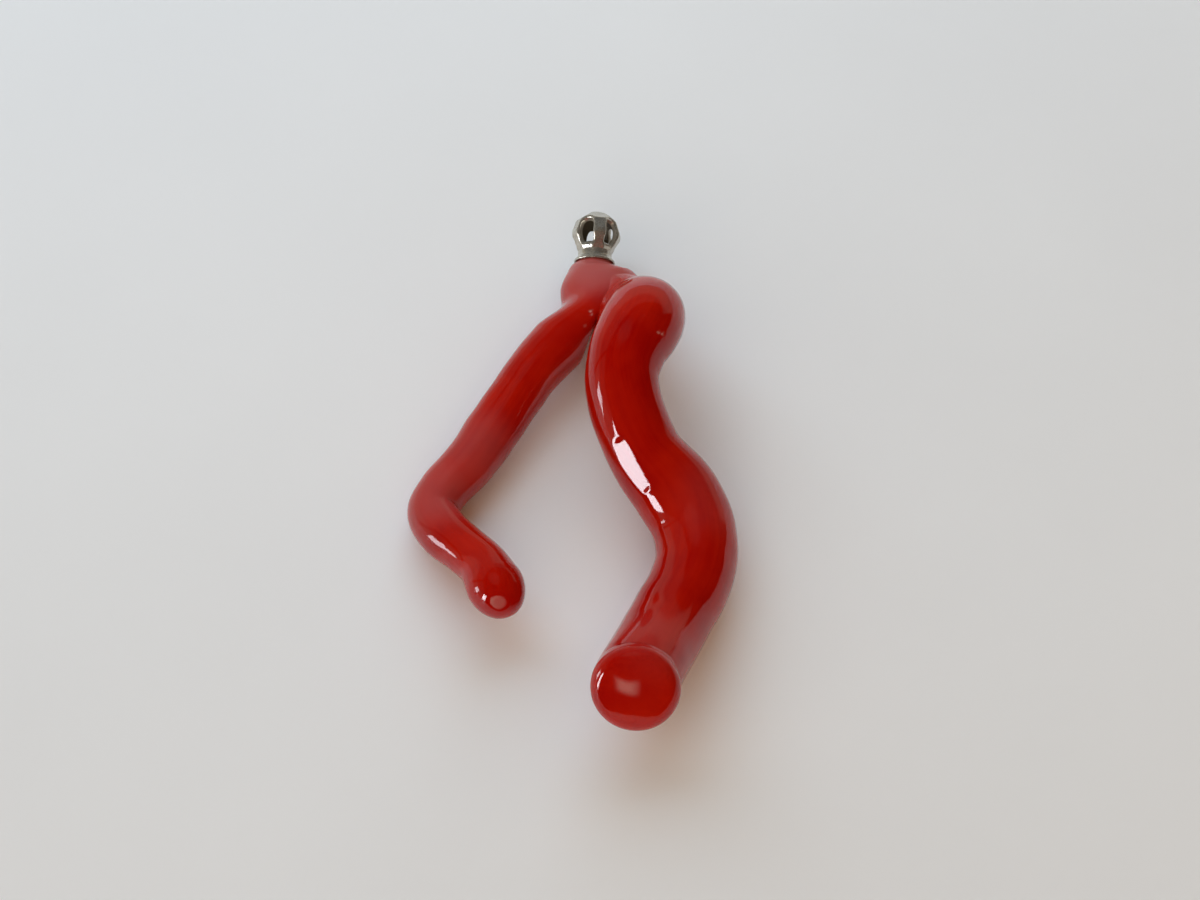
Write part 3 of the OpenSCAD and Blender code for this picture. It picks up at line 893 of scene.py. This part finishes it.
def silver_material(sizes):
    """Cast silver, tumbled and polished: bright and a little uneven, browned inside where no buff reaches."""
    made = bpy.data.materials.new("silver, cast and polished")
    add = node_adder(made)
    place = add("TexCoord").outputs["Object"]
    inside = add("Attribute", attribute_name="inside").outputs["Fac"]
    # Tarnish gathers in patches about 0.8 mm across
    patches = add("TexNoise", {"Vector": place, "Scale": per_mm(0.8), "Detail": 3})
    shade = add("Math", {0: patches, 1: 0.5, 2: inside}, operation="MULTIPLY_ADD")
    dirt = add("MapRange", {0: shade, 1: 0.2, 2: 0.8})
    colour = add("Mix", {0: dirt, 6: sizes.metal, 7: sizes.tarnish}, data_type="RGBA")
    rough = add("MapRange", {0: dirt, 1: 0, 2: 1, 3: 0.2, 4: 0.5})
    # The tarnish is a film of silver sulphide, which covers the metal and scatters light
    bare = add("MapRange", {0: dirt, 1: 0, 2: 1, 3: 0.82, 4: 0.25})
    # The casting's skin, with soft dents about 0.35 mm across
    skin = add("TexNoise", {"Vector": place, "Scale": per_mm(0.35), "Detail": 2})
    bump = add("Bump", {"Height": skin, "Strength": 0.4, "Distance": 0.03 * MM})
    shader = add("BsdfPrincipled", {
        "Base Color": colour.outputs[2], "Metallic": bare, "Roughness": rough,
        "Normal": bump})
    add("OutputMaterial", {"Surface": shader})
    return made


def turned(profile, angles):
    """A profile of radius and height turned to each angle: radius cos, radius sin and height."""
    radius, height = profile[:, 0:1], profile[:, 1:2]
    height = np.broadcast_to(height, (len(profile), len(angles)))
    return np.stack([radius * np.cos(angles), radius * np.sin(angles), height], -1)


def crown_skirt(sizes, low):
    """Outline from the ball's foot down the neck, over the flared skirt and under it to the post's tip. The
    neck runs straight at first and then flares as a raised cosine to the flare's power."""
    radius, neck, skirt, post = (v / MM / 2 for v in (sizes.diameter, sizes.neck, sizes.skirt, sizes.post))
    branch = bpy.context.scene.coral_branch
    dome = branch.seat_dome / MM + GLUE
    top = sizes.rise / MM + radius * math.sin(low)
    lip_top = FOOT + LIP_HEIGHT
    down = np.linspace(0, 1, NECK)[1:, None]
    flare = 0.5 - 0.5 * np.cos(np.pi * fade(down, FLARE_START, 1))
    side = np.hstack([neck + (skirt - neck) * flare ** FLARE_POWER, top + (lip_top - top) * down])
    a = np.radians(np.linspace(0, 180, LIP_ROUND))[1:, None]
    round_lip = np.hstack([skirt - LIP / 2 + LIP / 2 * np.cos(a), lip_top - LIP_HEIGHT * np.sin(a)])
    b = np.radians(np.linspace(UNDER_OUT, UNDER_IN, UNDERSIDE))
    seat = branch.seat_dome / MM
    under = np.stack([TRUNK_ROWS[0, 3] * np.sin(b) ** SEAT_FULLNESS, seat * np.cos(b) + GLUE], -1)
    tip = dome - branch.hole_depth / MM
    # The post's tip is rounded by 0.1 mm
    pin = np.array([[post, dome], [post, tip + 0.1], [post - 0.03, tip + 0.03], [post - 0.1, tip]])
    return np.vstack([side, round_lip, under, pin])


def crown_shells(sizes):
    """The crown's shells: each sector of the cage, the roof's outer and inner skin, the bowl under the cage,
    and the skirt with the post. Each is its rings of points, how dark each ring is, whether its faces are
    turned round, and the point that closes its last ring, if any. All meet point to point."""
    radius, wall, rise = (v / MM for v in (sizes.diameter / 2, sizes.wall, sizes.rise))
    lons, lats, depth, dark, low, high = crown_sector(sizes)
    step = 2 * np.pi / sizes.ribs
    first_rib = math.radians(180 + FRONT_RIB)
    middle = np.array([0, 0, rise])
    press = partial(pressed, middle=middle, first_rib=first_rib, ribs=sizes.ribs)
    shells = []
    for k in range(sizes.ribs):
        ways = on_ball(lons + first_rib + (k + 0.5) * step, lats)
        shells.append((press(middle + depth[:, None, None] * ways), dark, True, None))
    angles = first_rib + step / ACROSS * np.arange(ACROSS * sizes.ribs)
    inner = radius - wall
    for r, start, pole, tone, turn in (
            (radius, high, 1, 0.0, True), (inner, high, 1, 1.0, False), (inner, low, -1, 1.0, True)):
        lat = np.linspace(start, pole * np.pi / 2, ROOF)[:, None]
        points = press(middle + r * on_ball(angles, lat))
        shells.append((points[:-1], np.full(ROOF - 1, tone), turn, points[-1, 0]))
    ball_foot = [[radius * math.cos(low), rise + radius * math.sin(low)]]
    outline = np.vstack([ball_foot, crown_skirt(sizes, low)])
    skin = turned(outline, angles)
    skin[0] = press(skin[0])
    shells.append((skin, np.zeros(len(outline)), False, (0, 0, outline[-1, 1])))
    return shells


def join_shells(shells):
    """All the shells as one set of points, faces and tones, numbered one shell after the other."""
    places, faces, tones = [], [], []
    at = 0
    for points, tone, turn, closing in shells:
        rows, count = points.shape[:2]
        numbers = at + np.arange(rows * count).reshape(rows, count)
        made = [strip(numbers)]
        places.append(points.reshape(-1, 3))
        tones.append(np.repeat(tone, count))
        at += rows * count
        if closing is not None:
            made.append(fan(numbers[-1], at))
            places.append(np.array([closing]))
            tones.append(tone[-1:])
            at += 1
        for corners in made:
            faces.extend((corners[:, ::-1] if turn else corners).tolist())
    return np.concatenate(places), faces, np.concatenate(tones)


def weld(piece, gap):
    """Merges points nearer than gap millimetres and turns the faces outwards."""
    work = bmesh.new()
    work.from_mesh(piece.data)
    bmesh.ops.remove_doubles(work, verts=work.verts, dist=gap * MM)
    bmesh.ops.recalc_face_normals(work, faces=work.faces)
    work.to_mesh(piece.data)
    open_edges = sum(not e.is_manifold for e in work.edges)
    work.free()
    if open_edges:
        raise RuntimeError(f"{piece.name}: {open_edges} open edges")


class CORAL_OT_crown(bpy.types.Operator):
    """The openwork crown: a cage of ribs round arched windows, with its roof, bowl, neck, skirt and post"""
    bl_idname = "coral.crown"
    bl_label = "Silver Crown"

    def execute(self, context):
        points, faces, tone = join_shells(crown_shells(context.scene.coral_crown))
        foot, axis, ahead, across = crown_frame()
        points = foot + points[:, 0:1] * ahead + points[:, 1:2] * across + points[:, 2:] * axis
        made = new_mesh("crown_cap_cast", points, faces, silver_material(context.scene.coral_crown),
                        node=CROWN_NODE, numbers={"inside": tone})
        weld(made, WELD_GAP)
        return {"FINISHED"}


def direction(azimuth, elevation):
    """The way to that azimuth, clockwise from +Y, and elevation, in degrees."""
    a, e = math.radians(azimuth), math.radians(elevation)
    return Vector((math.sin(a) * math.cos(e), math.cos(a) * math.cos(e), math.sin(e)))


def standing(way, place):
    """The matrix of a light or camera at a place, looking back against the way."""
    return Matrix.Translation(place) @ way.to_track_quat("Z", "Y").to_matrix().to_4x4()


def area_light(name, azimuth, elevation, distance, size, colour, power, mirrored):
    """A rectangular light in that direction, facing the object. It is either only mirrored or only lights."""
    data = bpy.data.lights.new(name, "AREA")
    data.shape = "RECTANGLE"
    data.size, data.size_y = size
    data.energy = power
    data.color = linear(colour)[:3]
    way = direction(azimuth, elevation)
    made = bpy.data.objects.new(name, data)
    made.matrix_world = standing(way, way * distance)
    made.visible_camera = False
    made.visible_diffuse = not mirrored
    made.visible_glossy = mirrored
    bpy.context.scene.collection.objects.link(made)


def floor_material(sizes):
    """A painted table top, matt: pale and even, with a faint grain that takes the shadow softly."""
    made = bpy.data.materials.new("painted board, matt")
    add = node_adder(made)
    place = add("TexCoord").outputs["Object"]
    # Clouds of uneven paint, about 40 mm across and at most 3 % darker
    cloud = add("TexNoise", {"Vector": place, "Scale": per_mm(40), "Detail": 4})
    tint = add("MapRange", {0: cloud, 1: 0.3, 2: 0.7, 3: 0.97, 4: 1.0})
    colour = add("Mix", {0: tint, 6: (0, 0, 0, 1), 7: sizes.floor}, data_type="RGBA")
    # The roller's grain, about 0.8 mm
    grit = add("TexNoise", {"Vector": place, "Scale": per_mm(0.8), "Detail": 2})
    bump = add("Bump", {"Height": grit, "Strength": 0.15, "Distance": 0.05 * MM})
    shader = add("BsdfPrincipled", {
        "Base Color": colour.outputs[2], "Roughness": 0.6, "Normal": bump})
    add("OutputMaterial", {"Surface": shader})
    return made


def room_world(sizes):
    """Walls at the left and behind, paler up to a rail and with a dark door jamb, under a dark ceiling with a
    faint glow, a dark room elsewhere, and a pale sheet in front. Polished things mirror these borders. The
    level is the sum over the parts of brightness times the product of the part's borders."""
    world = bpy.data.worlds.new("room")
    add = node_adder(world)
    way = add("TexCoord").outputs["Generated"]
    borders = {}
    for name, (azimuth, elevation, dark, light) in BORDERS.items():
        cosine = add("VectorMath", {0: way, 1: direction(azimuth, elevation)}, operation="DOT_PRODUCT")
        borders[name] = add("MapRange", {0: cosine.outputs["Value"], 1: dark, 2: light},
                            interpolation_type="SMOOTHSTEP")
    level = DARK_ROOM
    for brightness, names in ROOM_PARTS:
        part = brightness
        for name in names:
            part = add("Math", {0: borders[name], 1: part}, operation="MULTIPLY")
        level = add("Math", {0: part, 1: level}, operation="ADD")
    back = add("Background", {"Color": sizes.sky, "Strength": level})
    add("OutputWorld", {"Surface": back})
    return world


class CORAL_OT_stage(bpy.types.Operator):
    """The pale table, the window-like light, the soft room and the camera at the photograph's angle"""
    bl_idname = "coral.stage"
    bl_label = "Table, Light and Camera"

    def execute(self, context):
        sizes = context.scene.coral_stage
        scene = context.scene
        corners = TABLE_HALF * np.array([[-1, -1, 0], [1, -1, 0], [1, 1, 0], [-1, 1, 0]])
        table = new_mesh("table", corners, [(0, 1, 2, 3)], floor_material(sizes))
        scene.world = room_world(sizes)
        for name, azimuth, elevation, distance, size, colour, power, mirrored in LIGHTS:
            area_light(name, azimuth, elevation, distance, size, colour, getattr(sizes, power), mirrored)
        data = bpy.data.cameras.new("camera")
        data.lens = sizes.lens
        data.sensor_width = 36
        data.clip_start = 5 * MM
        camera = bpy.data.objects.new("camera", data)
        back = Vector((0, -math.cos(sizes.elevation), math.sin(sizes.elevation)))
        camera.matrix_world = standing(back, Vector(sizes.target) + back * sizes.distance)
        scene.collection.objects.link(camera)
        scene.camera = camera
        scene.view_settings.view_transform = "Standard"
        return {"FINISHED"}


class CORAL_PT_panel(bpy.types.Panel):
    """Sizes, colours and the pieces in the order in which they are made"""
    bl_idname = "CORAL_PT_panel"
    bl_label = "Coral Pendant"
    bl_space_type = "VIEW_3D"
    bl_region_type = "UI"
    bl_category = "Coral Pendant"

    def draw(self, context):
        for operator, group in STEPS:
            box = self.layout.box()
            sizes = getattr(context.scene, group)
            for name in sizes.__annotations__:
                box.prop(sizes, name)
            box.operator(operator.bl_idname)


STEPS = (
    (CORAL_OT_branch, "coral_branch"),
    (CORAL_OT_crown, "coral_crown"),
    (CORAL_OT_stage, "coral_stage"),
)
GROUPS = {
    "coral_branch": CoralBranchSizes,
    "coral_crown": CoralCrownSizes,
    "coral_stage": CoralStageSizes,
}


def register():
    for group in GROUPS.values():
        bpy.utils.register_class(group)
    for operator, _ in STEPS:
        bpy.utils.register_class(operator)
    bpy.utils.register_class(CORAL_PT_panel)
    for name, group in GROUPS.items():
        setattr(bpy.types.Scene, name, PointerProperty(type=group))


def unregister():
    for name in GROUPS:
        delattr(bpy.types.Scene, name)
    bpy.utils.unregister_class(CORAL_PT_panel)
    for operator, _ in reversed(STEPS):
        bpy.utils.unregister_class(operator)
    for group in reversed(GROUPS.values()):
        bpy.utils.unregister_class(group)


def main():
    """Makes every piece and the stage."""
    register()
    bpy.ops.coral.branch()
    bpy.ops.coral.crown()
    bpy.ops.coral.stage()


if __name__ == "__main__":
    main()
